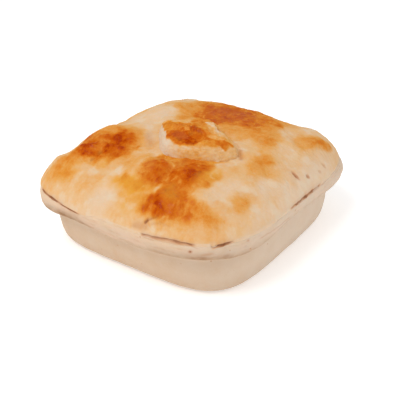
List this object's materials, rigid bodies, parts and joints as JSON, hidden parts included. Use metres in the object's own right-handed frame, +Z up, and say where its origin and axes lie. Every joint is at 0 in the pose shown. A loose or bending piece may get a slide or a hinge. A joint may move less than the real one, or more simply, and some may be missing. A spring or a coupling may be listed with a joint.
{
  "type": "beef pie",
  "caption": "Single-serve baked beef pie: rounded rectangular pale pastry case with a rolled rim, a domed, blistered golden lid and a small browned pastry square on top.",
  "frame": {"origin": "on the surface the pie stands on, under the middle of its rim outline", "axes": "+Z up; +X along the long side of the rim; the side that faces the picture's viewer looks towards -X and -Y"},
  "size_m": [0.108, 0.096, 0.0461],
  "materials": {
    "pale_pastry": null,
    "golden_pastry": "egg-washed puff pastry, cream to golden brown in uneven patches, soft sheen on the blisters",
    "browned_pastry": "well-browned puff pastry with pale cut sides, soft sheen on the ridges"
  },
  "bodies": {
    "root": {"pastry_case": "pale_pastry", "pastry_lid": "golden_pastry", "pastry_square": "browned_pastry"}
  },
  "joints": []
}
